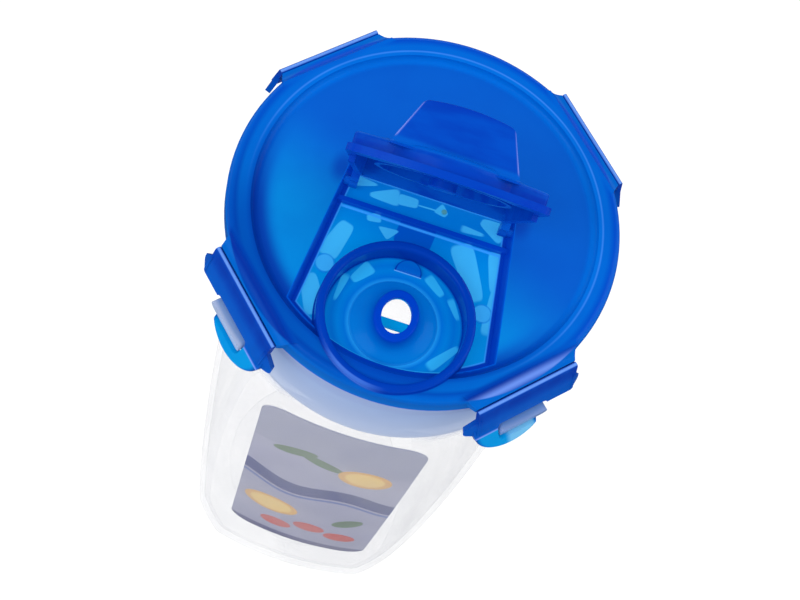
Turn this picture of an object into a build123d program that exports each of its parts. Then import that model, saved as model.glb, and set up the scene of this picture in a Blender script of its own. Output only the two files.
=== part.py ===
from build123d import *
import math
import os

# A 690 ml sauce shaker. Millimetres, +Z up, origin at the centre of the bottle's base.
# The spout, the label and the cap's free end face -Y; the cap's hinge lies towards +Y.
# It stands as photographed: the flip cap half open and the four lock flaps down.

# Bottle
bottle_wall = 1.5
base_wall = 2.0
barrel_top_draw = 2.9
barrel_low_draw = 3.0
barrel_mid_height = 92.0
base_round = 3.4
panel_top_sink = 2.3
panel_mid_sink = 4.6
panel_low_sink = 4.3
panel_arc_radius = 89.0
corner_round = 5.0
shoulder_height = 160.7
neck_bead_proud = 0.45
neck_bead_length = 9.7
base_dish_radius = 26.0
base_dish_depth = 0.8

# Lock lugs on the neck, four on the diagonals
lug_width = 11.2
lug_shift = 0.6
lug_height = 2.4
lug_drop = 6.8
lug_proud = 7.1
lug_round = 1.1

# Lid
skirt_radius = 40.0
skirt_foot = 188.0
rim_height = 5.2
skirt_wall = 1.6
skirt_neck_play = 0.9
rim_round = 1.6
rim_width = 4.8
cove_width = 1.6
lid_wall = 1.4
groove_roof = 2.0
plug_length = 3.6
disc_sink = 1.2
disc_wall = 1.6
neck_play = 0.4
plug_play = 0.45
ear_proud = 0.6
ear_half_length = 11.4
ear_flare = 3.2
ear_depth = 6.0
ear_thickness = 2.0
ear_cove_radius = 2.7

# Gasket in the lid's groove
gasket_thickness = 1.4
gasket_play = 0.1

# Pocket that the cap closes over
pocket_rear = 5.4
pocket_rear_half = 16.6
pocket_front_half = 20.1
pocket_front_gap = 0.8
pocket_depth = 2.6
pocket_wall_lean = 21.0
rib_place = -1.3
rib_width = 1.0
rib_height = 1.2
pad_place = (16.3, -16.0)
pad_radius = 2.05
pad_height = 0.12
gate_place = (3.5, 2.7)
gate_radius = 0.5
gate_height = 0.3

# Pour ring and spout
spout_setback = 16.3
ring_radius = 15.7
ring_wall = 1.8
ring_proud = 1.0
ring_round = 0.72
spout_foot_radius = 8.8
spout_lip_half = (4.25, 5.4)
spout_hole_half = (2.95, 3.8)
spout_drop = 0.4
spout_flank = [(0.0, 1.0), (0.3, 0.45), (0.65, 0.12), (1.0, 0.0)]
spout_wall = 1.1
spout_lip_round = 0.4
spout_bar_width = 1.9
spout_bar_height = 0.8
spout_bar_place = 0.35
notch_place = 11.1
notch_radius = 2.6
notch_height = 0.6

# Flip cap, drawn shut and then swung open
cap_open_angle = 67.0
hinge_place = 2.2
hinge_drop = 1.35
hinge_pin_radius = 0.9
hinge_fit = 0.05
hinge_pin_length = 1.3
hinge_side_gap = 0.35
hinge_arm_width = 1.7
hinge_arm_radius = 1.15
cap_wall = 1.2
cap_rear = -0.4
cap_side_gap = 0.9
cap_overhang = 1.0
cap_front_half = 19.6
cap_corner_round = 2.6
cap_body_setback = 3.6
cap_lip_height = 1.4
cap_lip_proud = 0.5
cap_rise = 2.7
cap_foot_gap = 0.12
rim_gap = 0.15
cap_ring_play = 0.3
dome_radius = 16.3
dome_height = 0.5
dome_round = 1.5
tab_base_width = 24.4
tab_top_width = 16.6
tab_height = 9.4
tab_bow = 0.8
tab_corner_round = 1.6
tab_thickness = 1.6
tab_setback = 4.8
tab_flare = 1.2
tab_lean = 10.0
plug_pin_play = 0.25
plug_pin_depth = 1.2
seal_rib_play = 0.6
seal_rib_width = 1.0
seal_rib_depth = 0.7

# Lock flaps
flap_thickness = 1.2
flap_band_length = 8.4
flap_band_lean = 15.0
flap_band_round = 0.8
flap_bead_radius = 0.6
flap_bead_play = 0.08
flap_axis_drop = 1.15
flap_seat_depth = 2.0
flap_tongue_half = 8.3
flap_tongue_shift = 3.6
flap_tongue_length = 6.5
flap_tongue_lean = 30.0
flap_tongue_root = 0.6
flap_slot_play = 0.3
flap_slot_rise = 1.1
flap_wing_reach = 2.9
flap_wing_tip = 1.6
flap_wing_turn = 30.0
flap_wing_start = 2.4
flap_wing_lift = 0.3
flap_wing_round = 0.7

# Card label, inside the front wall
label_half_width = 19.6
label_top = 142.0
label_foot = 31.0
label_thickness = 0.3
label_gap = 0.2
label_round = 6.0

# How far cutting tools run past a face, and how far joined forms sink into each other
past = 1.0
sunk = 0.5

barrel_mid_radius = skirt_radius
barrel_top_radius = skirt_radius - barrel_top_draw
barrel_low_radius = skirt_radius - barrel_low_draw
rim_top = skirt_foot + rim_height
rim_inner = skirt_radius - rim_width
disc_radius = rim_inner - cove_width
disc_top = rim_top - disc_sink
floor_top = disc_top - pocket_depth
groove_top = rim_top - groove_roof
groove_outer = skirt_radius - skirt_wall
neck_radius = groove_outer - skirt_neck_play
neck_top = groove_top - gasket_thickness
neck_bore = neck_radius - bottle_wall
groove_inner = neck_bore - plug_play
bead_radius = neck_radius + neck_bead_proud
pocket_front_radius = disc_radius - pocket_front_gap
pocket_front = -math.sqrt(pocket_front_radius**2 - pocket_front_half**2)
pocket_flare = (pocket_front_half - pocket_rear_half) / (pocket_rear - pocket_front)
spout_place = spout_setback - skirt_radius
ring_top = rim_top + ring_proud
spout_top = ring_top - spout_drop
hinge_height = disc_top - hinge_drop
cap_foot = disc_top + cap_foot_gap
cap_reach = skirt_radius + cap_overhang
lip_foot = rim_top + rim_gap
lip_top = lip_foot + cap_lip_height
cap_top = lip_top + cap_rise
ear_apothem = skirt_radius + ear_proud
flap_axis_height = disc_top - flap_axis_drop
flap_face = ear_apothem - flap_bead_radius - flap_bead_play
lug_middle = skirt_foot - lug_drop
diagonals = {"front_left": 225, "front_right": 315, "rear_right": 45, "rear_left": 135}
panel_top_apothem = barrel_top_radius - panel_top_sink
panel_sections = [
    (barrel_low_radius - panel_low_sink, 0),
    (barrel_mid_radius - panel_mid_sink, barrel_mid_height),
    (panel_top_apothem, shoulder_height),
]


def disc(radius, low, high):
    """An upright cylinder between two heights."""
    return Pos(0, 0, low) * Cylinder(radius, high - low, align=(Align.CENTER, Align.CENTER, Align.MIN))


def ring(outer, inner, low, high):
    """An upright tube between two heights."""
    return disc(outer, low, high) - disc(inner, low - past, high + past)


def block(x0, x1, y0, y1, z0, z1):
    """A box by its limits."""
    return Pos((x0 + x1) / 2, (y0 + y1) / 2, (z0 + z1) / 2) * Box(x1 - x0, y1 - y0, z1 - z0)


def prism(face, low, high):
    """A plan face drawn at z = 0, raised between two heights."""
    return Pos(0, 0, low) * extrude(face, high - low, dir=(0, 0, 1))


def barrel(inset, foot):
    """The bottle's round barrel as a turned solid, drawn in by inset, from foot up to the shoulder."""
    low = barrel_low_radius - inset
    middle = barrel_mid_radius - inset
    top = barrel_top_radius - inset
    wall = Polyline((0, foot), (low, foot))
    wall += ThreePointArc((low, foot), (middle, barrel_mid_height), (top, shoulder_height))
    wall += Polyline((top, shoulder_height), (0, shoulder_height), (0, foot))
    return revolve(make_face(Plane.XZ * wall), Axis.Z)


def panel_section(apothem, height):
    """Four shallow arcs, one for each side of the bottle, as a closed face at one height."""
    centre = apothem - panel_arc_radius
    reach = (centre + math.sqrt(2 * panel_arc_radius**2 - centre**2)) / 2
    corners = [(reach, -reach), (reach, reach), (-reach, reach), (-reach, -reach)]
    middles = [(apothem, 0), (0, apothem), (-apothem, 0), (0, -apothem)]
    line = Curve()
    for start, middle, end in zip(corners, middles, corners[1:] + corners[:1]):
        line += ThreePointArc(start, middle, end)
    return Pos(0, 0, height) * make_face(line)


def panels(inset):
    """The four side panels as one softly swelling prism, drawn in by inset."""
    return loft([panel_section(apothem - inset, height) for apothem, height in panel_sections])


def bottle_form(inset, foot):
    """The square-sided barrel with its soft corners and round base edge."""
    form = barrel(inset, foot) & panels(inset)
    corners = [edge for edge in form.edges() if edge.bounding_box().size.Z > shoulder_height / 2]
    form = fillet(corners, corner_round)
    base = [edge for edge in form.edges() if edge.bounding_box().max.Z < foot + 0.01]
    return fillet(base, base_round)


def at_corner(form, place):
    """A form drawn along +X for the front left, turned to its corner and mirrored where the hand changes."""
    handed = form if place in ("front_left", "rear_right") else mirror(form, Plane.XZ)
    return Rot(0, 0, diagonals[place]) * handed


def lug():
    """One lock lug, along +X: a rounded bar that stands out of the neck, shifted towards +Y."""
    low, high = lug_middle - lug_height / 2, lug_middle + lug_height / 2
    start, end = lug_shift - lug_width / 2, lug_shift + lug_width / 2
    bar = block(neck_radius - sunk, neck_radius + lug_proud, start, end, low, high)
    return fillet(bar.edges().filter_by(Axis.X), lug_round)


def make_bottle():
    shoulder_inside = shoulder_height + bottle_wall
    body = bottle_form(0, 0) + disc(neck_radius, shoulder_height, neck_top)
    body += disc(bead_radius, skirt_foot - neck_bead_length, skirt_foot - neck_play)
    for place in diagonals:
        body += at_corner(lug(), place)
    body -= bottle_form(bottle_wall, base_wall)
    body -= disc(neck_bore, shoulder_inside, neck_top + past)
    body -= disc(panel_top_apothem - bottle_wall, shoulder_height - past, shoulder_inside + past)
    return body - disc(base_dish_radius, -past, base_dish_depth)


def pocket_half(y):
    """Half the pocket floor's width at y."""
    return pocket_rear_half + pocket_flare * (pocket_rear - y)


def pocket_outline(grow):
    """The pocket floor's plan, sides flaring to the front and closed by an arc on the lid's centre."""
    rear = pocket_rear + grow
    front = -pocket_front_radius - ear_depth
    rear_half, front_half = pocket_half(rear) + grow, pocket_half(front) + grow
    corners = [(rear_half, rear), (-rear_half, rear), (-front_half, front), (front_half, front)]
    return make_face(Polyline(*corners, close=True)) & Circle(pocket_front_radius + grow)


def lid_ear():
    """One ear of the rim, along +X: the land that a lock flap hinges on, before its cove is cut."""
    back, back_half = flap_face - ear_depth, ear_half_length + ear_flare
    front = [(flap_face, -ear_half_length), (flap_face, ear_half_length)]
    corners = [(back, -back_half), *front, (back, back_half)]
    land = prism(make_face(Polyline(*corners, close=True)), disc_top - ear_thickness, rim_top)
    return land - disc(groove_outer - sunk, 0, rim_top + past)


def ear_cut():
    """The cove along the ear's top and the flat seat in which the flap's bead turns, along +X."""
    reach = ear_half_length + ear_flare + past
    axis = Pos(flap_face, 0, flap_axis_height + flap_bead_radius + ear_cove_radius)
    cove = axis * Rot(90, 0, 0) * Cylinder(ear_cove_radius, 2 * reach)
    seat_foot = flap_axis_height - flap_seat_depth
    return cove + block(flap_face, 2 * skirt_radius, -reach, reach, seat_foot, rim_top + past)


def disc_cut():
    """The space above the lid's disc, with a cove that rises to the rim."""
    line = Polyline((0, disc_top), (disc_radius, disc_top))
    line += TangentArc((disc_radius, disc_top), (rim_inner, rim_top), tangent=(1, 0))
    line += Polyline((rim_inner, rim_top), (rim_inner, rim_top + past), (0, rim_top + past), (0, disc_top))
    return revolve(make_face(Plane.XZ * line), Axis.Z)


def spout_cone(shrink, drop, foot):
    """The spout's flank as a smooth loft, from its round foot to its oval lip."""
    low, high = floor_top - drop, spout_top - drop
    lip_x, lip_y = spout_lip_half
    faces = [Pos(0, 0, foot) * Circle(spout_foot_radius - shrink)] if foot < low else []
    for rise, spread in spout_flank:
        half_x = lip_x + (spout_foot_radius - lip_x) * spread - shrink
        half_y = lip_y + (spout_foot_radius - lip_y) * spread - shrink
        section = Circle(half_x) if half_x == half_y else Ellipse(half_x, half_y)
        faces.append(Pos(0, 0, low + (high - low) * rise) * section)
    return Pos(0, spout_place, 0) * loft(faces)


def spout_insides():
    """The spout's oval bore and the hollow under its flank."""
    bore = prism(Pos(0, spout_place) * Ellipse(*spout_hole_half), floor_top - plug_length, ring_top)
    hollow = spout_cone(spout_wall, spout_wall, floor_top - spout_wall)
    under = Pos(0, spout_place, 0) * disc(spout_foot_radius - spout_wall, floor_top - plug_length,
                                          floor_top - spout_wall)
    return bore + hollow + under


def make_lid():
    lid = ring(skirt_radius, groove_inner - lid_wall, skirt_foot, rim_top)
    top_edges = lid.edges().filter_by(GeomType.CIRCLE).group_by(Axis.Z)[-1]
    lid = fillet(top_edges.sort_by(SortBy.LENGTH)[-1], rim_round)
    for turn in diagonals.values():
        lid += Rot(0, 0, turn) * lid_ear()
        lid -= Rot(0, 0, turn) * ear_cut()
    lid += disc(groove_inner, disc_top - disc_wall, rim_top)
    lid -= disc_cut()
    lid -= ring(groove_outer, groove_inner, skirt_foot - past, groove_top)
    lid += ring(groove_inner, groove_inner - lid_wall, skirt_foot - plug_length, groove_top)
    tray = prism(pocket_outline(lid_wall), floor_top - lid_wall, disc_top - sunk)
    lid += tray & disc(groove_inner, 0, disc_top)
    well = pocket_outline(0)
    lid -= Pos(0, 0, floor_top) * extrude(well, pocket_depth, dir=(0, 0, 1), taper=-pocket_wall_lean)
    rib = block(-pocket_front_half, pocket_front_half, rib_place - rib_width, rib_place, floor_top - sunk,
                floor_top + rib_height)
    lid += rib & prism(pocket_outline(sunk), floor_top - sunk, floor_top + rib_height)
    pour = Pos(0, spout_place, 0) * ring(ring_radius, ring_radius - ring_wall, floor_top - sunk, ring_top)
    pour = fillet(pour.edges().group_by(Axis.Z)[-1], ring_round)
    lid += pour - ring(2 * skirt_radius, groove_inner - sunk, 0, groove_top)
    cone = spout_cone(0, 0, floor_top - sunk)
    lid += fillet(cone.edges().group_by(Axis.Z)[-1], spout_lip_round)
    lid -= spout_insides()
    bar = Pos(0, spout_place + spout_bar_place, floor_top - lid_wall - spout_bar_height / 2)
    lid += bar * Box(2 * spout_foot_radius, spout_bar_width, spout_bar_height)
    notch = Pos(0, spout_place + notch_place) * Circle(notch_radius)
    notch -= Pos(0, spout_place + notch_place - notch_radius) * Rectangle(4 * notch_radius, 2 * notch_radius)
    lid += prism(notch, floor_top - sunk, floor_top + notch_height)
    for side in (1, -1):
        x, y = pad_place
        lid += Pos(side * x, y, 0) * disc(pad_radius, floor_top - sunk, floor_top + pad_height)
    lid += Pos(*gate_place, 0) * disc(gate_radius, floor_top - sunk, floor_top + gate_height)
    pin_end = pocket_half(hinge_place) + hinge_pin_length + hinge_fit
    pin_hole = Rot(0, 90, 0) * Cylinder(hinge_pin_radius + hinge_fit, 2 * pin_end)
    return lid - Pos(0, hinge_place, hinge_height) * pin_hole


def make_gasket():
    return ring(groove_outer - gasket_play, groove_inner + gasket_play, neck_top, groove_top)


def cap_outline(shrink, reach):
    """The flip cap's plan: a straight hinge side, flaring sides and a front arc on the lid's centre."""
    rear = cap_rear - shrink
    rear_half = pocket_half(cap_rear) - cap_side_gap - shrink
    front_half = cap_front_half - shrink
    corners = [(rear_half, rear), (-rear_half, rear), (-front_half, -cap_reach), (front_half, -cap_reach)]
    return make_face(Polyline(*corners, close=True)) & Circle(reach)


def round_front(solid, radius):
    """Rounds the two upright edges at a cap form's front corners."""
    return fillet(solid.edges().filter_by(Axis.Z).group_by(Axis.Y)[0], radius)


def cap_tab():
    """The thumb tab: a trapezium with round corners and a bowed top, its foot flared into the dome."""
    half_base, half_top, half_deep = tab_base_width / 2, tab_top_width / 2, tab_thickness / 2
    shoulder = tab_height - tab_bow
    front = Polyline((-half_top, shoulder), (-half_base, -sunk), (half_base, -sunk), (half_top, shoulder))
    front += ThreePointArc((half_top, shoulder), (0, tab_height), (-half_top, shoulder))
    plate = extrude(make_face(Plane.XZ * front), tab_base_width, both=True)
    plate = fillet(plate.edges().filter_by(Axis.Y).group_by(Axis.Z)[-1], tab_corner_round)
    foot, side = half_deep + tab_flare, Polyline((half_deep, tab_flare), (half_deep, tab_height + past))
    side += Polyline((half_deep, tab_height + past), (-half_deep, tab_height + past), (-half_deep, tab_flare))
    side += TangentArc((-half_deep, tab_flare), (-foot, 0), tangent=(0, -1))
    side += Polyline((-foot, 0), (-foot, -sunk), (foot, -sunk), (foot, 0))
    side += TangentArc((half_deep, tab_flare), (foot, 0), tangent=(0, -1))
    return plate & extrude(make_face(Plane.YZ * side), tab_base_width, both=True)


def hinge_arm():
    """One hinge arm of the cap with its pin, at +X."""
    wall = pocket_half(hinge_place)
    outer = wall - hinge_side_gap
    inner = outer - hinge_arm_width
    end = wall + hinge_pin_length
    axis = Pos(0, hinge_place, hinge_height) * Rot(0, 90, 0)
    eye = axis * Pos(0, 0, (inner + outer) / 2) * Cylinder(hinge_arm_radius, outer - inner)
    pin = axis * Pos(0, 0, (inner + end) / 2) * Cylinder(hinge_pin_radius, end - inner)
    neck = block(inner, outer, cap_rear - cap_wall, hinge_place, hinge_height, cap_foot + cap_wall)
    return eye + pin + neck & block(0, end, cap_rear - cap_wall, pocket_rear, floor_top, cap_foot + cap_wall)


def make_cap():
    body_reach = cap_reach - cap_body_setback
    shell = round_front(prism(cap_outline(cap_lip_proud, body_reach), cap_foot, cap_top), cap_wall)
    shell = fillet(shell.faces().sort_by(Axis.Z)[-1].edges(), cap_wall / 2)
    shell += round_front(prism(cap_outline(0, cap_reach), lip_foot, lip_top), cap_corner_round)
    dome_top = cap_top + dome_height
    dome = Pos(0, spout_place, 0) * disc(dome_radius, lip_foot, dome_top)
    shell += fillet(dome.edges().group_by(Axis.Z)[-1], dome_round)
    hollow = cap_outline(cap_lip_proud + cap_wall, body_reach - cap_wall)
    shell -= prism(hollow, cap_foot - past, cap_top - cap_wall)
    shell -= Pos(0, spout_place, 0) * disc(dome_radius - cap_wall, cap_foot - past, dome_top - cap_wall)
    shell -= ring(2 * skirt_radius, disc_radius - rim_gap, cap_foot - past, lip_foot)
    groove_inside = dome_radius - cap_wall - sunk
    groove = ring(ring_radius + cap_ring_play, groove_inside, cap_foot, ring_top + cap_ring_play)
    shell -= Pos(0, spout_place, 0) * groove
    tab = Pos(0, tab_setback - cap_reach, dome_top - tab_flare / 2) * Rot(tab_lean, 0, 0) * cap_tab()
    shell += tab & disc(2 * skirt_radius, dome_top - cap_wall, dome_top + 2 * tab_height)
    roof = dome_top - cap_wall + sunk
    seal = ring_radius - ring_wall - seal_rib_play
    shell += Pos(0, spout_place, 0) * ring(seal, seal - seal_rib_width, ring_top - seal_rib_depth, roof)
    plug = Ellipse(spout_hole_half[0] - plug_pin_play, spout_hole_half[1] - plug_pin_play)
    plug = prism(Pos(0, spout_place) * plug, spout_top - plug_pin_depth, roof)
    shell += fillet(plug.edges().group_by(Axis.Z)[0], plug_pin_play)
    arm = hinge_arm()
    shell += arm + mirror(arm, Plane.YZ)
    hinge = Pos(0, hinge_place, hinge_height)
    return hinge * Rot(-cap_open_angle, 0, 0) * hinge.inverse() * shell


def flap_plate():
    """The flap's main plate in its own plane: the band, then the round grip tongue, leaned apart."""
    half = ear_half_length
    band = Pos(0, -flap_band_length / 2) * Rectangle(2 * half, flap_band_length)
    band = extrude(Plane.YZ * band, flap_thickness / 2, both=True)
    band = fillet(band.edges().filter_by(Axis.X).group_by(Axis.Z)[0], flap_band_round)
    lower = Pos(0, -flap_tongue_length) * Rectangle(2 * flap_tongue_half, 2 * flap_tongue_length)
    shape = Ellipse(flap_tongue_half, flap_tongue_length) & lower
    shape += Pos(0, flap_tongue_root) * Rectangle(2 * flap_tongue_half, 2 * flap_tongue_root)
    tongue = extrude(Plane.YZ * shape, flap_thickness / 2, both=True)
    foot = Pos(0, flap_tongue_shift, flap_tongue_root - flap_band_length)
    return band + foot * Rot(0, flap_band_lean - flap_tongue_lean, 0) * tongue


def flap_wing():
    """The short wing that turns in at one end of the band, at +Y, widening towards its foot."""
    height = flap_band_length - flap_wing_start - flap_wing_lift
    corners = [(-sunk, 0), (flap_wing_reach, 0), (flap_wing_reach, flap_wing_tip), (0, height), (-sunk, height)]
    wing = extrude(Plane.YZ * make_face(Polyline(*corners, close=True)), flap_thickness / 2, both=True)
    wing = fillet(wing.edges().filter_by(Axis.X).group_by(Axis.Y)[-1], flap_wing_round)
    return Pos(0, ear_half_length - sunk, -flap_wing_start - height) * Rot(0, 0, flap_wing_turn) * wing


def make_flap():
    """One lock flap, along +X, hanging over its lug, its tongue shifted towards +Y."""
    wing = flap_wing()
    flap = flap_plate() + wing + mirror(wing, Plane.XZ)
    flap += Rot(90, 0, 0) * Cylinder(flap_bead_radius, 2 * ear_half_length)
    flap = Pos(ear_apothem, 0, flap_axis_height) * Rot(0, -flap_band_lean, 0) * flap
    low = lug_middle - lug_height / 2 - flap_slot_play
    high = flap_axis_height - (flap_band_length - flap_slot_rise) * math.cos(math.radians(flap_band_lean))
    start, end = lug_shift - lug_width / 2 - flap_slot_play, lug_shift + lug_width / 2 + flap_slot_play
    slot = block(ear_apothem, neck_radius + 2 * lug_proud, start, end, low, high)
    return flap - fillet(slot.edges().filter_by(Axis.X), lug_round)


def make_label():
    """The card label, bent to the inside of the front panel."""
    outline = Pos(0, (label_top + label_foot) / 2) * RectangleRounded(
        2 * label_half_width, label_top - label_foot, label_round)
    sheet = extrude(Plane.XZ * outline, barrel_mid_radius)
    outer = panels(bottle_wall + label_gap)
    return sheet & (outer - panels(bottle_wall + label_gap + label_thickness))


os.makedirs("parts", exist_ok=True)
pieces = {
    "bottle": make_bottle(),
    "lid": make_lid(),
    "gasket": make_gasket(),
    "flip_cap": make_cap(),
    "label_card": make_label(),
}
flap = make_flap()
for place in diagonals:
    pieces["lock_flap_" + place] = at_corner(flap, place)
for name, piece in pieces.items():
    export_step(piece, f"parts/{name}.step")
    print(name, round(piece.volume), [round(v, 1) for v in tuple(piece.bounding_box().size)])
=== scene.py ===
"""The sauce shaker's looks: its finishes, the studio and the camera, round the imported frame."""

import math

import bpy
import numpy as np
from mathutils import Matrix, Vector


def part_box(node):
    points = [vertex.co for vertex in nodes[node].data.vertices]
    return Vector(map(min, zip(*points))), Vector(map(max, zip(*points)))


MM = 0.001

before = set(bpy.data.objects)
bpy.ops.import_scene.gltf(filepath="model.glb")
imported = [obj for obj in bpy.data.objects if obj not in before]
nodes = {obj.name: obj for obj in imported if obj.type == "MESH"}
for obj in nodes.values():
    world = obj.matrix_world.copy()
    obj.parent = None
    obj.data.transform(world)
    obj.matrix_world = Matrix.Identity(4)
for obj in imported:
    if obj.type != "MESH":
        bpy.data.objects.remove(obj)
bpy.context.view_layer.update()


def box_mm(node):
    """A node's lowest and highest corners, in millimetres."""
    return [np.array(corner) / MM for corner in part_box(node)]


# Measures of the object in millimetres
GASKET_ABOVE_FOOT = 3.2
SKIRT_HEIGHT = 5.2
RIM_WIDTH = 4.8
RIM_SLOPE = 1.6
DISC_SINK = 1.2
POCKET_DEPTH = 2.6
POCKET_LAND = 0.8
POCKET_REAR = 5.4
POCKET_REAR_HALF = 16.6
POCKET_FLARE = 0.112
RIB_Y = -1.8
EAR_PROUD = 0.6
EAR_HALF = 13.5
SPOUT_SETBACK = 16.3
SPOUT_PROUD = 0.6
SPOUT_FOOT_RADIUS = 8.8
SPOUT_HOLE_HALF = (2.95, 3.8)
RING_RADIUS = 15.7
RING_WALL = 1.8
NOTCH_BEHIND_SPOUT = 11.1
NOTCH_INNER = 2.45
NOTCH_OUTER = 2.75
HINGE_Y = 2.2
HINGE_DROP = 1.35
BOSS_Y = 4.0
BOSS_PAST_POCKET = 2.2
CAP_OPEN = math.radians(67.0)
CAP_RISE = 4.25
DOME_RISE = 0.5
TAB_FOOT_HALF = 12.2
TAB_NARROWING = 0.415
NECK_LENGTH = 27.3
LUG_DROP = 6.8
LUG_HALF_HEIGHT = 1.4
FLAP_AXIS_DROP = 1.15
FLAP_BAND_HEIGHT = 8.1
TONGUE_SHIFT = 3.6
TONGUE_HALF = 8.3
TONGUE_DROP = 5.7

# Places that follow from them and from the frame's boxes
LID_HIGH = box_mm("lid")[1]
GASKET_HIGH = box_mm("gasket")[1]
CARD_LOW, CARD_HIGH = box_mm("label_card")
SKIRT_RADIUS = LID_HIGH[0]
SKIRT_FOOT = GASKET_HIGH[2] - GASKET_ABOVE_FOOT
RIM_TOP = SKIRT_FOOT + SKIRT_HEIGHT
RIM_INNER = SKIRT_RADIUS - RIM_WIDTH
DISC_RADIUS = RIM_INNER - RIM_SLOPE
DISC_TOP = RIM_TOP - DISC_SINK
FLOOR_TOP = DISC_TOP - POCKET_DEPTH
POCKET_FRONT_RADIUS = DISC_RADIUS - POCKET_LAND
EAR_APOTHEM = SKIRT_RADIUS + EAR_PROUD
SPOUT_Y = SPOUT_SETBACK - SKIRT_RADIUS
SPOUT_TOP = RIM_TOP + SPOUT_PROUD
RING_INNER = RING_RADIUS - RING_WALL
NOTCH_Y = SPOUT_Y + NOTCH_BEHIND_SPOUT
HINGE = (0.0, HINGE_Y, DISC_TOP - HINGE_DROP)
CAP_TOP = RIM_TOP + CAP_RISE
DOME_TOP = CAP_TOP + DOME_RISE
NECK_FOOT = SKIRT_FOOT - NECK_LENGTH
LUG_MIDDLE = SKIRT_FOOT - LUG_DROP
FLAP_AXIS = DISC_TOP - FLAP_AXIS_DROP
FLAP_FOOT = FLAP_AXIS - FLAP_BAND_HEIGHT

# The share of each axis in a step along a diagonal, where the ears and flaps are
DIAGONAL = math.sqrt(0.5)

# The photograph's camera, fitted to the lid's rim, its flap lines, the pocket and the outline
PICTURE = (800, 600)
FOCAL_PIXELS = 1568.19
LID_PIXEL = (422.96, 221.29)
CAMERA_DISTANCE = 316.98 * MM
CAMERA_ELEVATION = math.radians(63.82)
CAMERA_AZIMUTH = math.radians(-6.95)
CAMERA_ROLL = math.radians(24.4)
SENSOR_WIDTH = 36.0

# Soft lamps: name, place and width in metres, power in watts
LAMPS = [
    ("key", (-0.5, -0.4, 0.9), 0.6, 3),
    ("fill", (0.7, 0.2, 0.8), 0.6, 2),
]
# The height that the lamps face, as a share of the rim's
LAMP_AIM = 0.6
# The floor's half width in metres, and the strengths of its glow and of the studio
FLOOR_REACH = 3.0
FLOOR_GLOW = 0.86
STUDIO_LIGHT = 0.92

# Painted pale facets of light on the pocket's polished floor: x, y, half length, half width, turn, taper
POCKET_GLINTS = [
    (-13.4, 3.6, 2.4, 0.8, 6, -0.7),
    (-8.9, 2.0, 3.0, 1.3, 12, 0.6),
    (-4.1, 2.5, 2.1, 1.15, 3, -0.1),
    (0.2, 2.45, 2.2, 0.16, 2, 0.0),
    (3.1, 2.7, 1.2, 1.0, -30, -0.4),
    (14.0, 2.6, 2.8, 1.7, -16, 0.5),
    (10.1, 0.5, 2.3, 0.6, 0, -0.4),
    (-9.7, -3.3, 1.4, 0.9, 20, 0.3),
    (-6.1, -5.7, 1.2, 1.3, 95, 0.8),
    (11.6, -8.4, 6.2, 2.1, -60, -0.25),
    (16.9, -6.6, 4.4, 1.5, -76, -0.1),
    (18.1, -14.6, 5.4, 1.2, -88, 0.2),
    (-15.4, -10.3, 4.3, 1.9, 74, -0.15),
    (-16.9, -23.0, 4.3, 1.9, -64, 0.1),
]
# The same inside the pour ring
RING_GLINTS = [
    (-8.7, -15.6, 2.5, 1.2, 55, 0.3),
    (-11.9, -19.8, 2.9, 0.6, 82, 0.4),
    (5.9, -13.5, 2.4, 0.9, -38, -0.2),
    (10.8, -17.0, 2.2, 0.6, -55, -0.3),
    (11.3, -27.4, 3.7, 0.9, 52, -0.3),
]
# Flat marks of the mould on the pocket's floor: two round pads and the gate's dot
FLOOR_PADS = [(-16.3, -16.0, 2.05, 2.05), (16.3, -16.0, 2.05, 2.05)]
PAD_CORE = 1.75
GATE_DOT = (3.5, 2.7, 0.55, 0.55)


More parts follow.
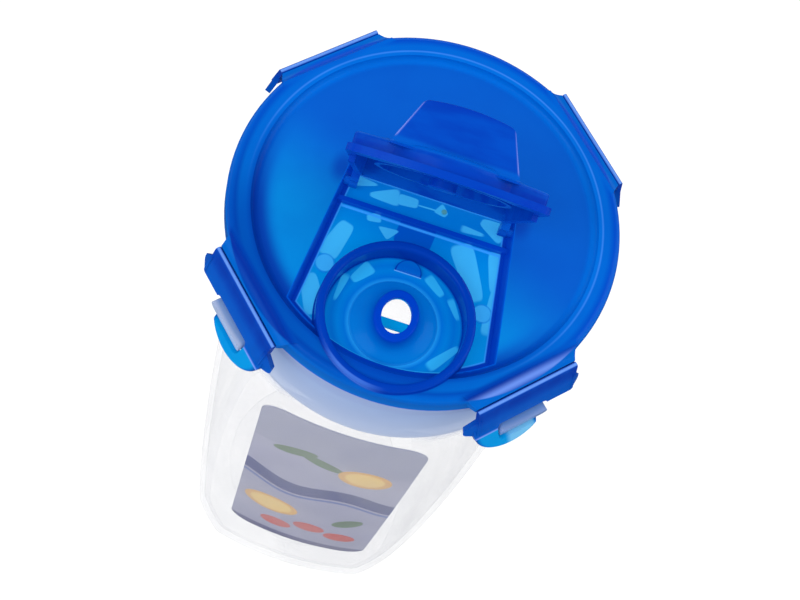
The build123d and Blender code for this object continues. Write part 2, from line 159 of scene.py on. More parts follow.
class Finish:
    """One material under construction: short calls that add its nodes and return their sockets."""

    def __init__(self, name):
        self.material = bpy.data.materials.new(name)
        self.material.use_nodes = True
        self.tree = self.material.node_tree
        self.tree.nodes.clear()
        self.output = self.tree.nodes.new("ShaderNodeOutputMaterial")
        scale = self.tree.nodes.new("ShaderNodeVectorMath")
        scale.operation = "SCALE"
        scale.inputs["Scale"].default_value = 1 / MM
        self.put(scale.inputs[0], self.tree.nodes.new("ShaderNodeTexCoord").outputs["Object"])
        self.place = scale.outputs[0]

    def put(self, socket, value):
        """Links a socket, or writes a plain value to it."""
        if isinstance(value, bpy.types.NodeSocket):
            self.tree.links.new(value, socket)
        elif value is not None:
            socket.default_value = value

    def maths(self, operation, first, second=None, third=None):
        """One step of arithmetic on sockets or plain values."""
        node = self.tree.nodes.new("ShaderNodeMath")
        node.operation = operation
        for socket, value in zip(node.inputs, (first, second, third)):
            self.put(socket, value)
        return node.outputs[0]

    def axes(self, place=None):
        """The three coordinates of a place, in millimetres."""
        node = self.tree.nodes.new("ShaderNodeSeparateXYZ")
        self.put(node.inputs[0], place or self.place)
        return node.outputs

    def length(self, x, y):
        """The distance of (x, y) from the origin."""
        squares = self.maths("MULTIPLY_ADD", y, y, self.maths("MULTIPLY", x, x))
        return self.maths("SQRT", squares)

    def span(self, value, low, high, to_low=0.0, to_high=1.0):
        """A smooth step of value between low and high."""
        node = self.tree.nodes.new("ShaderNodeMapRange")
        node.interpolation_type = "SMOOTHSTEP"
        for socket, number in zip(node.inputs, (value, low, high, to_low, to_high)):
            self.put(socket, number)
        return node.outputs[0]

    def within(self, value, low, high, soft):
        """One between low and high, and nought outside, with soft edges."""
        rise = self.span(value, low - soft, low + soft)
        return self.product(rise, self.span(value, high + soft, high - soft))

    def product(self, *shares):
        """All shares multiplied together."""
        result = shares[0]
        for share in shares[1:]:
            result = self.maths("MULTIPLY", result, share)
        return result

    def noise(self, scale, detail, stretch=(1, 1, 1)):
        """Noise with its grain in repeats per millimetre, perhaps stretched along an axis."""
        node = self.tree.nodes.new("ShaderNodeTexNoise")
        mapping = self.tree.nodes.new("ShaderNodeMapping")
        mapping.inputs["Scale"].default_value = stretch
        self.put(mapping.inputs["Vector"], self.place)
        self.put(node.inputs["Vector"], mapping.outputs[0])
        self.put(node.inputs["Scale"], scale)
        self.put(node.inputs["Detail"], detail)
        return node.outputs["Fac"]

    def mix(self, share, first, second):
        """Two colours mixed by a share."""
        node = self.tree.nodes.new("ShaderNodeMix")
        node.data_type = "RGBA"
        self.put(node.inputs["Factor"], share)
        for socket in node.inputs:
            if socket.type == "RGBA":
                self.put(socket, first if socket.name == "A" else second)
        return next(socket for socket in node.outputs if socket.type == "RGBA")

    def ramp(self, value, stops):
        """A colour that runs through stops of (value, colour), in rising order."""
        low, high = stops[0][0], stops[-1][0]
        share = self.tree.nodes.new("ShaderNodeMapRange")
        for socket, number in zip(share.inputs, (value, low, high, 0.0, 1.0)):
            self.put(socket, number)
        node = self.tree.nodes.new("ShaderNodeValToRGB")
        elements = node.color_ramp.elements
        while len(elements) < len(stops):
            elements.new(0.5)
        for element, (place, colour) in zip(elements, stops):
            element.position = (place - low) / (high - low)
            element.color = colour
        self.put(node.inputs[0], share.outputs[0])
        return node.outputs[0]

    def patch(self, x, y, half_long, half_wide, turn=0.0, taper=0.0, oval=False, upright=False):
        """The share of one small patch, a tapered box or an oval, on the plan or on the front face."""
        mapping = self.tree.nodes.new("ShaderNodeMapping")
        mapping.vector_type = "TEXTURE"
        angle = math.radians(turn)
        if upright:
            mapping.inputs["Location"].default_value = (x, 0, y)
            mapping.inputs["Rotation"].default_value = (0, -angle, 0)
            mapping.inputs["Scale"].default_value = (half_long, 1, half_wide)
        else:
            mapping.inputs["Location"].default_value = (x, y, 0)
            mapping.inputs["Rotation"].default_value = (0, 0, angle)
            mapping.inputs["Scale"].default_value = (half_long, half_wide, 1)
        self.put(mapping.inputs["Vector"], self.place)
        coordinates = self.axes(mapping.outputs[0])
        along, across = coordinates[0], coordinates[2 if upright else 1]
        if oval:
            reach = self.length(along, across)
        else:
            across = self.maths("DIVIDE", across, self.maths("MULTIPLY_ADD", along, taper, 1.0))
            squareness = 5.0
            sides = [self.maths("ABSOLUTE", axis) for axis in (along, across)]
            powers = [self.maths("POWER", side, squareness) for side in sides]
            reach = self.maths("POWER", self.maths("ADD", *powers), 1 / squareness)
        soft = min(0.3, 0.12 / half_wide)
        return self.span(reach, 1.0 + soft, 1.0 - soft)

    def patches(self, rows, **form):
        """The share of several patches together."""
        result = 0.0
        for row in rows:
            result = self.maths("MAXIMUM", result, self.patch(*row, **form))
        return result

    def bump(self, height, strength, distance):
        """A small relief for the shader's Normal socket."""
        node = self.tree.nodes.new("ShaderNodeBump")
        self.put(node.inputs["Height"], height)
        self.put(node.inputs["Strength"], strength)
        self.put(node.inputs["Distance"], distance)
        return node.outputs[0]

    def plastic(self, colour, roughness, **sockets):
        """The main shader on the output, with any further sockets by name."""
        node = self.tree.nodes.new("ShaderNodeBsdfPrincipled")
        self.put(node.inputs["Base Color"], colour)
        self.put(node.inputs["Roughness"], roughness)
        for name, value in sockets.items():
            self.put(node.inputs[name.replace("_", " ")], value)
        self.put(self.output.inputs["Surface"], node.outputs[0])


def linear(red, green, blue):
    """A colour given as it looks on screen, 0 to 255, as the shader's linear values."""
    values = np.array([red, green, blue]) / 255
    lines = np.where(values <= 0.04045, values / 12.92, ((values + 0.055) / 1.055) ** 2.4)
    return (*(float(value) for value in lines), 1.0)


# Painted light and shade on the frosted disc: darker at the rear, lighter in front
FROSTED_SHADED_REAR = linear(0, 88, 194)
FROSTED_LIT_FRONT = linear(0, 132, 214)
DEEP_BLUE = linear(0, 60, 172)
# Painted shade on walls and lips
WALL_BLUE = linear(0, 54, 168)
CLEAR_BLUE = linear(0, 132, 205)
CYAN_BLUE = linear(0, 142, 214)
# Painted highlights: thin light lines along the pocket's rib and walls
LINE_BLUE = linear(50, 150, 235)
# Painted light: the pale facets on the pocket's floor
PAINTED_GLINT_BLUE = linear(54, 166, 222)
LAVENDER_LINE = linear(120, 152, 238)
FROSTED_CLEAR = linear(245, 246, 250)
BLUE_SHEEN = (0.25, 0.5, 1.0, 1.0)


def out_to_ear(finish, x, y):
    """The distance from the lid's axis towards the nearest ear, on that ear's diagonal."""
    both = finish.maths("ADD", finish.maths("ABSOLUTE", x), finish.maths("ABSOLUTE", y))
    return finish.maths("MULTIPLY", both, DIAGONAL)


def along_ear(finish, x, y):
    """The distance along the nearest ear from its middle, towards the front or the rear."""
    more = finish.maths("SUBTRACT", finish.maths("ABSOLUTE", y), finish.maths("ABSOLUTE", x))
    return finish.maths("MULTIPLY", more, DIAGONAL)


def front_right_share(finish, x, y):
    """One towards +X and -Y, nought elsewhere."""
    return finish.product(finish.span(x, 0, 4), finish.span(y, 0, -4))


def lid_disc(finish, x, y):
    """The frosted disc: painted light makes it lighter in front, with soft painted shade where the hinge
    bosses lie below it.
    """
    # Painted light: lighter towards the front
    slope = finish.maths("MULTIPLY_ADD", x, 0.35, y)
    colour = finish.mix(finish.span(slope, 6, -19), FROSTED_SHADED_REAR, FROSTED_LIT_FRONT)
    side = finish.maths("SUBTRACT", finish.maths("ABSOLUTE", x), POCKET_REAR_HALF + BOSS_PAST_POCKET)
    boss = finish.length(finish.maths("MULTIPLY", side, 1.5), finish.maths("SUBTRACT", y, BOSS_Y))
    # Painted shade where the hinge bosses lie below the disc
    shade = finish.span(boss, 4.8, 0.8, 0.0, 0.75)
    return finish.mix(shade, colour, DEEP_BLUE)


def lid_rim(finish, colour, x, y, z, radius):
    """The rim: bands of painted shade with a thin painted highlight line for the front and the rear, coves
    along the four ears in painted shade with a painted highlight, and the skirt.
    """
    front = finish.span(finish.maths("MULTIPLY_ADD", x, -0.4, finish.maths("MULTIPLY", y, -1.0)), -10, 24)
    # Painted shade in the groove and on the outer shoulder, with a thin painted highlight line, at the rear
    rear_rim = finish.ramp(radius, [
        (DISC_RADIUS - 1.5, linear(0, 94, 202)),
        (DISC_RADIUS + 0.8, linear(0, 106, 212)),
        (RIM_INNER + 0.6, linear(0, 104, 208)),
        (RIM_INNER + 0.9, linear(52, 126, 226)),
        (RIM_INNER + 1.2, linear(0, 98, 202)),
        (RIM_INNER + 2.1, linear(0, 98, 202)),
        (SKIRT_RADIUS - 1.4, linear(0, 72, 190)),
        (SKIRT_RADIUS - 0.2, linear(0, 96, 202)),
    ])
    # Painted shade in the groove and on the outer shoulder at the front
    front_rim = finish.ramp(radius, [
        (DISC_RADIUS - 2.6, linear(0, 104, 200)),
        (DISC_RADIUS - 0.6, linear(0, 66, 172)),
        (RIM_INNER - 0.7, linear(0, 50, 158)),
        (RIM_INNER + 0.2, linear(0, 76, 178)),
        (RIM_INNER + 1.0, linear(0, 94, 192)),
        (RIM_INNER + 2.2, linear(0, 98, 194)),
        (RIM_INNER + 3.0, linear(0, 74, 176)),
        (SKIRT_RADIUS - 1.0, linear(0, 90, 192)),
        (SKIRT_RADIUS - 0.2, linear(0, 98, 198)),
    ])
    spread = finish.mix(front, finish.span(radius, DISC_RADIUS - 0.6, DISC_RADIUS + 0.6),
                        finish.span(radius, DISC_RADIUS - 4.2, DISC_RADIUS - 0.8))
    # More painted shade on the rim at the front left
    shaded = finish.span(finish.maths("ADD", x, y), -36, -54, 0.0, 0.55)
    front_rim = finish.mix(shaded, front_rim, linear(0, 52, 154))
    colour = finish.mix(spread, colour, finish.mix(front, rear_rim, front_rim))
    apothem = out_to_ear(finish, x, y)
    # Painted shade in the ears' coves
    rear_cove = finish.ramp(apothem, [
        (EAR_APOTHEM - 4.6, linear(0, 98, 203)),
        (EAR_APOTHEM - 3.4, linear(0, 92, 200)),
        (EAR_APOTHEM - 2.2, linear(0, 68, 190)),
        (EAR_APOTHEM - 1.0, linear(0, 90, 202)),
        (EAR_APOTHEM - 0.1, linear(0, 98, 206)),
    ])
    front_cove = finish.ramp(apothem, [
        (EAR_APOTHEM - 4.6, linear(0, 78, 178)),
        (EAR_APOTHEM - 3.4, linear(0, 58, 164)),
        (EAR_APOTHEM - 2.6, linear(0, 44, 152)),
        (EAR_APOTHEM - 1.2, linear(0, 68, 172)),
        (EAR_APOTHEM - 0.1, linear(0, 62, 168)),
    ])
    cove = finish.mix(front, rear_cove, front_cove)
    # A painted highlight along the front-right ear's cove
    toward_light = finish.span(finish.maths("SUBTRACT", x, y), 40, 56)
    highlight = finish.within(apothem, EAR_APOTHEM - 2.5, EAR_APOTHEM - 1.3, 0.7)
    ear = finish.mix(finish.product(highlight, toward_light), cove, linear(104, 142, 228))
    reach = finish.product(finish.span(apothem, EAR_APOTHEM - 4.6, EAR_APOTHEM - 3.6),
                           finish.within(along_ear(finish, x, y), -EAR_HALF, EAR_HALF, 1.5))
    colour = finish.mix(reach, colour, ear)
    flank = finish.ramp(z, [
        (SKIRT_FOOT, linear(196, 190, 228)),
        (SKIRT_FOOT + 0.25, linear(120, 150, 228)),
        (SKIRT_FOOT + 0.45, linear(0, 108, 208)),
        (SKIRT_FOOT + 2.2, linear(0, 102, 198)),
        (RIM_TOP - 0.6, linear(0, 92, 192)),
    ])
    outside = finish.product(finish.span(radius, SKIRT_RADIUS - 0.5, SKIRT_RADIUS - 0.2),
                             finish.span(z, RIM_TOP - 0.4, RIM_TOP - 0.9))
    return finish.mix(outside, colour, flank)


def lid_pocket(finish, colour, x, y, z, radius):
    """The polished pocket: soft walls and rib in painted shade, thin painted highlight lines, and painted
    pale facets of light on its floor.
    """
    half = finish.maths("MULTIPLY_ADD", y, -POCKET_FLARE, POCKET_REAR_HALF + POCKET_FLARE * POCKET_REAR)
    side = finish.maths("SUBTRACT", half, finish.maths("ABSOLUTE", x))
    rear = finish.maths("SUBTRACT", POCKET_REAR, y)
    front = finish.maths("SUBTRACT", POCKET_FRONT_RADIUS, radius)
    edge = finish.maths("MINIMUM", side, finish.maths("MINIMUM", rear, front))
    floor = finish.mix(finish.span(y, -14, 2), CLEAR_BLUE, linear(0, 112, 196))
    # A painted dark reflection of the cap on the polished floor
    painted_cap_reflection = finish.patch(-0.8, -4.4, 3.8, 3.3, -6, 0.0)
    floor = finish.mix(finish.product(painted_cap_reflection, 0.85), floor, linear(0, 70, 176))
    # Painted light: pale facets on the polished floor
    floor = finish.mix(finish.patches(POCKET_GLINTS), floor, PAINTED_GLINT_BLUE)
    pads = finish.patches(FLOOR_PADS, oval=True)
    cores = finish.patches([(*pad[:2], PAD_CORE, PAD_CORE) for pad in FLOOR_PADS], oval=True)
    floor = finish.mix(finish.product(pads, 0.7), floor, linear(20, 120, 205))
    floor = finish.mix(cores, floor, linear(52, 158, 222))
    floor = finish.mix(finish.patch(*GATE_DOT, oval=True), floor, linear(70, 140, 150))
    # A thin painted highlight line in front of the rib
    floor = finish.mix(finish.within(y, RIB_Y - 1.3, RIB_Y - 0.8, 0.2), floor, LINE_BLUE)
    # Painted shade on the walls, with a painted highlight line at their foot
    walls = finish.ramp(edge, [
        (-1.1, linear(0, 84, 190)),
        (-0.7, WALL_BLUE),
        (0.5, WALL_BLUE),
        (0.8, LINE_BLUE),
        (1.1, CLEAR_BLUE),
    ])
    floor = finish.mix(finish.span(edge, 1.1, 0.7), floor, walls)
    # Painted shade on the rib
    rib = finish.product(finish.within(y, RIB_Y - 0.55, RIB_Y + 0.55, 0.1), finish.span(edge, -0.2, 0.1))
    floor = finish.mix(rib, floor, linear(0, 55, 168))
    inside = finish.product(finish.span(edge, -1.25, -1.05), finish.span(z, DISC_TOP + 0.1, DISC_TOP - 0.02))
    return finish.mix(inside, colour, floor), inside


def lid_spout(finish, colour, x, y, z):
    """The pour ring and the spout inside it: dark walls, a painted highlight line at the foot, a notch,
    painted glints, a painted sheen on the ring and the oval hole, with painted light in its bore.
    """
    from_spout = finish.maths("SUBTRACT", y, SPOUT_Y)
    distance = finish.length(x, from_spout)
    # A soft painted highlight ring round the spout's foot
    floor = finish.ramp(distance, [
        (SPOUT_FOOT_RADIUS - 0.6, linear(0, 96, 188)),
        (SPOUT_FOOT_RADIUS + 0.1, linear(24, 134, 208)),
        (SPOUT_FOOT_RADIUS + 0.9, linear(0, 104, 192)),
        (SPOUT_FOOT_RADIUS + 2.2, linear(0, 118, 198)),
        (SPOUT_FOOT_RADIUS + 3.4, linear(0, 108, 194)),
        (SPOUT_FOOT_RADIUS + 4.5, linear(0, 122, 200)),
        (RING_INNER - 0.1, linear(0, 80, 176)),
    ])
    # Painted light: pale facets inside the pour ring
    floor = finish.mix(finish.patches(RING_GLINTS), floor, linear(40, 160, 218))
    notch = finish.length(x, finish.maths("SUBTRACT", y, NOTCH_Y))
    lower = finish.span(y, NOTCH_Y - 0.35, NOTCH_Y - 0.1)
    inside = finish.span(notch, NOTCH_OUTER, NOTCH_OUTER - 0.2)
    floor = finish.mix(finish.product(inside, lower, 0.6), floor, linear(0, 66, 170))
    outline = finish.product(finish.within(notch, NOTCH_INNER, NOTCH_OUTER, 0.12), lower)
    floor = finish.mix(outline, floor, linear(0, 48, 154))
    # A thin painted highlight line under the notch
    foot = finish.within(y, NOTCH_Y - 0.3, NOTCH_Y - 0.1, 0.08)
    foot_line = finish.product(foot, finish.span(notch, NOTCH_OUTER + 0.15, NOTCH_OUTER - 0.05))
    floor = finish.mix(foot_line, floor, linear(92, 158, 222))
    cone = finish.ramp(z, [
        (FLOOR_TOP + 0.1, linear(0, 112, 194)),
        (FLOOR_TOP + 0.8, linear(0, 104, 186)),
        (FLOOR_TOP + 2.0, linear(0, 92, 178)),
        (SPOUT_TOP - 0.9, linear(0, 70, 166)),
        (SPOUT_TOP - 0.1, WALL_BLUE),
    ])
    inner = finish.mix(finish.span(distance, SPOUT_FOOT_RADIUS - 0.1, SPOUT_FOOT_RADIUS - 0.5), floor, cone)
    # A thin painted highlight line at the pocket's front edge, darker beyond it
    beyond = finish.ramp(finish.length(x, y), [
        (POCKET_FRONT_RADIUS - 0.35, linear(0, 120, 198)),
        (POCKET_FRONT_RADIUS - 0.1, linear(40, 158, 216)),
        (POCKET_FRONT_RADIUS + 0.15, linear(0, 60, 158)),
        (POCKET_FRONT_RADIUS + 1.2, linear(0, 44, 144)),
        (RIM_INNER + 1.4, linear(0, 66, 160)),
        (SKIRT_RADIUS - 1.5, linear(0, 44, 144)),
    ])
    past_pocket = finish.span(finish.length(x, y), POCKET_FRONT_RADIUS - 0.4, POCKET_FRONT_RADIUS - 0.3)
    inner = finish.mix(past_pocket, inner, beyond)
    ring = finish.mix(finish.span(z, RIM_TOP - 0.8, RIM_TOP + 0.8), linear(0, 40, 138), linear(0, 50, 152))
    # A painted sheen on the ring's front-left flank
    sheen = finish.product(finish.within(distance, RING_RADIUS - 0.55, RING_RADIUS + 0.2, 0.15),
                           finish.within(x, -10.5, -0.5, 3.0), finish.span(y, SPOUT_Y - 8, SPOUT_Y - 12))
    ring = finish.mix(finish.product(sheen, 0.5), ring, linear(74, 122, 210))
    inner = finish.mix(finish.span(distance, RING_INNER - 0.25, RING_INNER + 0.05), inner, ring)
    hole = finish.length(finish.maths("DIVIDE", x, SPOUT_HOLE_HALF[0]),
                         finish.maths("DIVIDE", from_spout, SPOUT_HOLE_HALF[1]))
    # Painted light in the bore and on the bar, as if lit from below
    bore = finish.ramp(z, [
        (FLOOR_TOP - 2.4, linear(0, 180, 228)),
        (FLOOR_TOP - 1.5, linear(0, 180, 228)),
        (FLOOR_TOP - 1.2, linear(0, 150, 214)),
        (SPOUT_TOP - 0.8, linear(0, 140, 210)),
        (SPOUT_TOP - 0.4, WALL_BLUE),
    ])
    inner = finish.mix(finish.span(hole, 1.06, 1.02), inner, bore)
    above_disc = finish.product(finish.span(distance, RING_RADIUS + 0.35, RING_RADIUS + 0.1),
                                finish.span(z, FLOOR_TOP - 4.0, FLOOR_TOP - 3.9))
    return finish.mix(above_disc, colour, inner), above_disc


def blue_lid():
    """Blue plastic: frosted on the disc, deeper on rims and walls, polished in the pocket and brighter there
    with a painted glow.
    """
    finish = Finish("blue_lid")
    x, y, z = finish.axes()
    radius = finish.length(x, y)
    colour = lid_disc(finish, x, y)
    colour = lid_rim(finish, colour, x, y, z, radius)
    colour, pocket = lid_pocket(finish, colour, x, y, z, radius)
    colour, spout = lid_spout(finish, colour, x, y, z)
    through = finish.maths("MAXIMUM", pocket, spout)
    frosted = finish.product(finish.span(radius, DISC_RADIUS + 0.5, DISC_RADIUS - 1.0),
                             finish.maths("SUBTRACT", 1.0, through))
    cloud = finish.noise(0.12, 2)
    colour = finish.mix(finish.product(finish.span(cloud, 0.35, 0.75), 0.10), colour, DEEP_BLUE)
    grain = finish.product(finish.noise(3.0, 3), frosted)
    relief = finish.bump(grain, 0.25, 0.05 * MM)
    roughness = finish.maths("MULTIPLY_ADD", frosted, 0.32, 0.2)
    # A painted glow in the pocket and the spout, as if light came through the plastic
    glow = finish.mix(through, (0.0, 0.0, 0.0, 1.0), colour)
    finish.plastic(colour, roughness, Normal=relief, Specular_IOR_Level=0.12, Specular_Tint=BLUE_SHEEN,
                   Emission_Color=glow, Emission_Strength=0.35)
    return finish.material


def blue_cap():
    """The flip cap: deep blue with fine flow streaks, painted highlight lines along the thumb tab's sides,
    painted light on the dome, and a painted glow.
    """
    finish = Finish("blue_cap")
    shut = finish.tree.nodes.new("ShaderNodeVectorRotate")
    shut.rotation_type = "X_AXIS"
    shut.inputs["Center"].default_value = HINGE
    shut.inputs["Angle"].default_value = CAP_OPEN
    finish.put(shut.inputs["Vector"], finish.place)
    finish.place = shut.outputs[0]
    x, y, z = finish.axes()
    streaks = finish.noise(0.35, 3, (0.25, 2.0, 1.0))
    colour = finish.mix(finish.span(streaks, 0.3, 0.7), linear(0, 54, 164), linear(0, 68, 176))
    under = finish.span(z, CAP_TOP - 1.0, CAP_TOP - 1.6)
    underside = finish.mix(finish.span(y, -30, 0), linear(0, 56, 168), linear(0, 78, 184))
    flow = finish.product(finish.span(streaks, 0.45, 0.6), 0.6)
    underside = finish.mix(flow, underside, linear(0, 46, 164))
    colour = finish.mix(under, colour, underside)
    rise = finish.maths("SUBTRACT", z, DOME_TOP)
    half = finish.maths("MULTIPLY_ADD", rise, -TAB_NARROWING, TAB_FOOT_HALF)
    inset = finish.maths("SUBTRACT", half, finish.maths("ABSOLUTE", x))
    # Painted highlights along the thumb tab's sides
    line = finish.product(finish.span(inset, 0.95, 0.4), finish.span(rise, 0.0, 0.6))
    colour = finish.mix(finish.product(line, 0.85), colour, linear(140, 152, 228))
    # Painted light on the dome, against its shade
    painted_dome_light = finish.product(finish.span(z, CAP_TOP - 0.5, CAP_TOP), finish.span(rise, 1.0, 0.2))
    colour = finish.mix(finish.product(painted_dome_light, 0.8), colour, linear(0, 84, 184))
    crown = finish.span(rise, 6.8, 8.6, 0.0, 0.6)
    colour = finish.mix(crown, colour, linear(0, 44, 160))
    relief = finish.bump(streaks, 0.2, 0.15 * MM)
    # A painted glow over the whole cap
    finish.plastic(colour, 0.28, Normal=relief, Specular_IOR_Level=0.14, Specular_Tint=BLUE_SHEEN,
                   Emission_Color=colour, Emission_Strength=0.2)
    return finish.material


def blue_flap():
    """A lock flap: a light hinge line in painted highlight, a dark band and a clear cyan tongue with a dark
    edge, with painted light on the front-right tongue.
    """
    finish = Finish("blue_flap")
    x, y, z = finish.axes()
    along = along_ear(finish, x, y)
    band = finish.ramp(z, [
        (FLAP_FOOT - 0.1, LAVENDER_LINE),
        (FLAP_FOOT + 0.3, linear(0, 84, 186)),
        (FLAP_FOOT + 3.6, linear(0, 80, 186)),
        (FLAP_FOOT + 5.6, linear(0, 62, 172)),
        (FLAP_FOOT + 7.0, linear(0, 54, 164)),
        (FLAP_AXIS - 0.6, linear(0, 56, 166)),
        (FLAP_AXIS + 0.46, linear(0, 60, 168)),
        # Painted highlight on the hinge line
        (FLAP_AXIS + 0.55, linear(88, 138, 224)),
        (FLAP_AXIS + 0.6, linear(104, 150, 230)),
    ])
    across = finish.maths("DIVIDE", finish.maths("SUBTRACT", along, TONGUE_SHIFT), TONGUE_HALF)
    down = finish.maths("DIVIDE", finish.maths("SUBTRACT", FLAP_FOOT, z), TONGUE_DROP)
    reach = finish.length(across, down)
    tongue = finish.ramp(reach, [
        (0.0, CYAN_BLUE),
        (0.84, CYAN_BLUE),
        (0.91, linear(0, 104, 190)),
        (0.97, linear(0, 52, 130)),
    ])
    # Painted light on the front-right flap's tongue
    pale = finish.product(finish.span(along, 5.0, 3.4), finish.span(reach, 0.9, 0.82),
                          front_right_share(finish, x, y), 0.75)
    tongue = finish.mix(pale, tongue, linear(126, 196, 234))
    colour = finish.mix(finish.span(z, FLAP_FOOT - 0.1, FLAP_FOOT - 0.3), band, tongue)
    streaks = finish.noise(0.3, 3, (1, 1, 0.3))
    colour = finish.mix(finish.product(finish.span(streaks, 0.4, 0.7), 0.12), colour, linear(0, 100, 215))
    relief = finish.bump(finish.noise(1.2, 2), 0.12, 0.05 * MM)
    finish.plastic(colour, 0.22, Normal=relief, Specular_IOR_Level=0.12, Specular_Tint=BLUE_SHEEN)
    return finish.material


def clear_bottle():
    """Finely frosted clear plastic: darker at the base in painted shade, a periwinkle neck in painted blue
    light from the lid, a painted dark line under the skirt, and lugs bluer in the same painted light.
    """
    finish = Finish("clear_bottle")
    x, y, z = finish.axes()
    radius = finish.length(x, y)
    colour = finish.ramp(z, [
        # Painted shade at the base
        (0.0, linear(226, 227, 233)),
        (7.0, FROSTED_CLEAR),
        (NECK_FOOT - 9.0, FROSTED_CLEAR),
        # Painted blue light from the lid up the neck
        (NECK_FOOT - 3.0, linear(222, 228, 242)),
        (NECK_FOOT + 1.5, linear(190, 206, 238)),
        (SKIRT_FOOT - 12.0, linear(168, 192, 236)),
        (SKIRT_FOOT - 6.5, linear(160, 182, 230)),
        (SKIRT_FOOT - 5.0, linear(140, 158, 210)),
        # A painted dark reflection of the skirt's edge, just under it
        (SKIRT_FOOT - 4.4, linear(108, 112, 140)),
    ])
    lug = finish.product(finish.span(radius, SKIRT_RADIUS - 1.6, SKIRT_RADIUS - 1.0),
                         finish.within(z, LUG_MIDDLE - LUG_HALF_HEIGHT, LUG_MIDDLE + LUG_HALF_HEIGHT, 0.2))
    # Painted blue light from the lid on the lugs
    lug_colour = finish.ramp(radius, [
        (SKIRT_RADIUS - 1.0, linear(92, 142, 208)),
        (SKIRT_RADIUS + 2.6, linear(120, 156, 212)),
        (SKIRT_RADIUS + 3.7, linear(128, 160, 212)),
        (SKIRT_RADIUS + 4.4, linear(176, 194, 228)),
    ])
    # More painted blue light at the front right
    deeper = finish.product(front_right_share(finish, x, y), 0.6)
    lug_colour = finish.mix(deeper, lug_colour, linear(58, 112, 190))
    colour = finish.mix(lug, colour, lug_colour)
    neck = finish.span(z, NECK_FOOT - 6.0, NECK_FOOT + 1.5)
    opacity = finish.maths("MULTIPLY_ADD", neck, 0.76, 0.14)
    opacity = finish.maths("MAXIMUM", opacity, finish.product(lug, 0.95))
    haze = finish.noise(0.03, 3)
    opacity = finish.maths("ADD", opacity, finish.span(haze, 0.3, 0.7, -0.04, 0.06))
    relief = finish.bump(finish.noise(4.0, 2), 0.1, 0.03 * MM)
    finish.plastic(colour, 0.3, Normal=relief, Alpha=opacity, Specular_IOR_Level=0.3)
    return finish.material


def white_seal():
    """Soft white silicone with a faint grain."""
    finish = Finish("white_seal")
    tone = finish.mix(finish.noise(0.8, 2), linear(218, 221, 230), linear(232, 234, 240))
    finish.plastic(tone, 0.55, Normal=finish.bump(finish.noise(5.0, 2), 0.15, 0.03 * MM))
    return finish.material


def printed_card():
    """A generic printed card: a wave, leaves, citrus discs and drops on lavender, with a plain head."""
    finish = Finish("printed_card")
    x, _, z = finish.axes()
    middle = (CARD_LOW[2] + CARD_HIGH[2]) / 2
    ground = finish.mix(finish.noise(0.05, 2), linear(148, 150, 180), linear(170, 171, 198))
    wave = finish.maths("SINE", finish.product(x, 0.22))
    height = finish.maths("SUBTRACT", z, finish.maths("MULTIPLY_ADD", wave, 3.0, middle + 4))
    colour = finish.mix(finish.within(height, -4.5, 4.5, 0.3), ground, linear(18, 44, 132))
    colour = finish.mix(finish.within(height, -7.5, -6.0, 0.3), colour, linear(64, 98, 176))
    head = finish.span(z, CARD_HIGH[2] - 24, CARD_HIGH[2] - 23.5)
    colour = finish.mix(head, colour, linear(150, 154, 182))
    leaves = [(-9, middle + 32, 6, 2.4, 30), (-2, middle + 30, 6, 2.4, -25), (11, middle - 20, 6, 2.6, 60)]
    discs = [(9, middle + 26, 6.5, 6.5), (-10, middle - 22, 7.5, 7.5)]
    cores = [(9, middle + 26, 4.8, 4.8), (-10, middle - 22, 5.8, 5.8)]
    drops = [(2, middle - 34, 4.4, 4.4), (11, middle - 38, 4.4, 4.4), (-7, middle - 40, 4.4, 4.4)]
    inks = [
        (leaves, linear(48, 106, 34)),
        (discs, linear(226, 170, 30)),
        (cores, linear(242, 204, 88)),
        (drops, linear(204, 50, 24)),
    ]
    for shapes, ink in inks:
        colour = finish.mix(finish.patches(shapes, oval=True, upright=True), colour, ink)
    foot = finish.span(z, CARD_LOW[2] + 5.2, CARD_LOW[2] + 4.8)
    colour = finish.mix(foot, colour, linear(62, 62, 128))
    finish.plastic(colour, 0.4, Specular_IOR_Level=0.3)
    return finish.material


def dress_nodes():
    """Gives every frame node its finish."""
    finishes = {
        "bottle": clear_bottle(),
        "lid": blue_lid(),
        "gasket": white_seal(),
        "label_card": printed_card(),
        "flip_cap": blue_cap(),
    }
    flap = blue_flap()
    for name, piece in nodes.items():
        for slot in piece.material_slots:
            slot.material = finishes.get(name, flap)


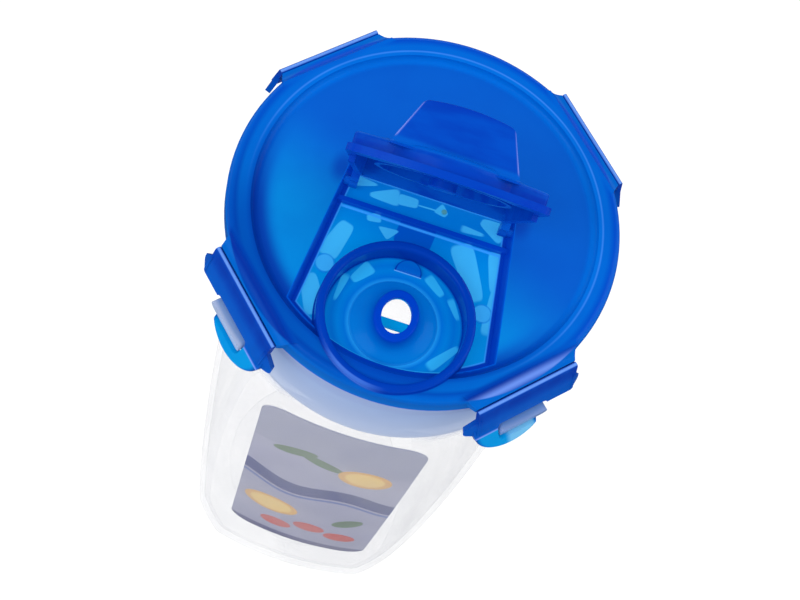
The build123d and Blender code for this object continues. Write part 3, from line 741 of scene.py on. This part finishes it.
def make_floor():
    """The white floor: white with a soft shadow to the camera, dark to glossy rays."""
    mesh = bpy.data.meshes.new("floor")
    reach = FLOOR_REACH
    corners = [(-reach, -reach, 0), (reach, -reach, 0), (reach, reach, 0), (-reach, reach, 0)]
    mesh.from_pydata(corners, [], [(0, 1, 2, 3)])
    floor = bpy.data.objects.new("floor", mesh)
    bpy.context.scene.collection.objects.link(floor)
    finish = Finish("floor_white")
    tree = finish.tree
    rays = tree.nodes.new("ShaderNodeLightPath").outputs
    seen = finish.maths("MAXIMUM", rays["Is Camera Ray"], rays["Is Transmission Ray"])
    matt = tree.nodes.new("ShaderNodeBsdfDiffuse")
    tone = finish.mix(rays["Is Glossy Ray"], (0.8, 0.8, 0.8, 1), (0.03, 0.05, 0.1, 1))
    tree.links.new(tone, matt.inputs["Color"])
    shadow = tree.nodes.new("ShaderNodeBsdfDiffuse")
    shadow.inputs["Color"].default_value = (0.2, 0.2, 0.2, 1)
    glow = tree.nodes.new("ShaderNodeEmission")
    glow.inputs["Strength"].default_value = FLOOR_GLOW
    both = tree.nodes.new("ShaderNodeAddShader")
    tree.links.new(shadow.outputs[0], both.inputs[0])
    tree.links.new(glow.outputs[0], both.inputs[1])
    choice = tree.nodes.new("ShaderNodeMixShader")
    tree.links.new(seen, choice.inputs[0])
    tree.links.new(matt.outputs[0], choice.inputs[1])
    tree.links.new(both.outputs[0], choice.inputs[2])
    tree.links.new(choice.outputs[0], finish.output.inputs["Surface"])
    mesh.materials.append(finish.material)


def make_world():
    """A white studio: white to the camera and as light, but dark overhead and bright low down to gloss."""
    world = bpy.data.worlds.new("studio")
    world.use_nodes = True
    tree = world.node_tree
    background = tree.nodes["Background"]
    rays = tree.nodes.new("ShaderNodeLightPath").outputs
    direction = tree.nodes.new("ShaderNodeTexCoord").outputs["Generated"]
    split = tree.nodes.new("ShaderNodeSeparateXYZ")
    tree.links.new(direction, split.inputs[0])
    overhead = tree.nodes.new("ShaderNodeMapRange")
    overhead.interpolation_type = "SMOOTHSTEP"
    for socket, value in zip(overhead.inputs[1:5], (0.05, 0.5, 1.0, 0.02)):
        socket.default_value = value
    tree.links.new(split.outputs[2], overhead.inputs[0])
    strength = tree.nodes.new("ShaderNodeMix")
    tree.links.new(rays["Is Glossy Ray"], strength.inputs[0])
    strength.inputs[2].default_value = STUDIO_LIGHT
    tree.links.new(overhead.outputs[0], strength.inputs[3])
    seen = tree.nodes.new("ShaderNodeMath")
    seen.operation = "MAXIMUM"
    tree.links.new(rays["Is Camera Ray"], seen.inputs[0])
    tree.links.new(strength.outputs[0], seen.inputs[1])
    tree.links.new(seen.outputs[0], background.inputs["Strength"])
    background.inputs["Color"].default_value = (1, 1, 1, 1)
    bpy.context.scene.world = world


def soft_lamp(name, place, width, power):
    """A square soft lamp that faces the bottle."""
    data = bpy.data.lights.new(name, "AREA")
    data.size = width
    data.energy = power
    lamp = bpy.data.objects.new(name, data)
    lamp.location = place
    aim = Vector((0, 0, RIM_TOP * MM * LAMP_AIM)) - lamp.location
    lamp.rotation_mode = "QUATERNION"
    lamp.rotation_quaternion = aim.to_track_quat("-Z", "Y")
    bpy.context.scene.collection.objects.link(lamp)


def make_camera():
    """The fitted camera: rolled, and turned so that the skirt's lower middle falls on LID_PIXEL."""
    data = bpy.data.cameras.new("camera")
    data.sensor_width = SENSOR_WIDTH
    data.lens = SENSOR_WIDTH * FOCAL_PIXELS / PICTURE[0]
    data.clip_start = 0.01
    camera = bpy.data.objects.new("camera", data)
    level = math.cos(CAMERA_ELEVATION)
    back = Vector((
        math.sin(CAMERA_AZIMUTH) * level,
        -math.cos(CAMERA_AZIMUTH) * level,
        math.sin(CAMERA_ELEVATION),
    ))
    right = (-back).cross(Vector((0, 0, 1))).normalized()
    up = right.cross(-back)
    rolled_right = math.cos(CAMERA_ROLL) * right + math.sin(CAMERA_ROLL) * up
    rolled_up = math.cos(CAMERA_ROLL) * up - math.sin(CAMERA_ROLL) * right
    turn = Matrix((rolled_right, rolled_up, back)).transposed()
    across = (LID_PIXEL[0] - PICTURE[0] / 2) / FOCAL_PIXELS
    upward = (PICTURE[1] / 2 - LID_PIXEL[1]) / FOCAL_PIXELS
    aim = Vector((across, upward, -1))
    offset = Vector((0, 0, -1)).rotation_difference(aim.normalized()).to_matrix()
    place = Vector((0, 0, SKIRT_FOOT * MM)) + back * CAMERA_DISTANCE
    camera.matrix_world = Matrix.Translation(place) @ (turn @ offset.transposed()).to_4x4()
    bpy.context.scene.collection.objects.link(camera)
    bpy.context.scene.camera = camera


dress_nodes()
make_floor()
make_world()
for lamp in LAMPS:
    soft_lamp(*lamp)
make_camera()
bpy.context.scene.view_settings.view_transform = "Standard"
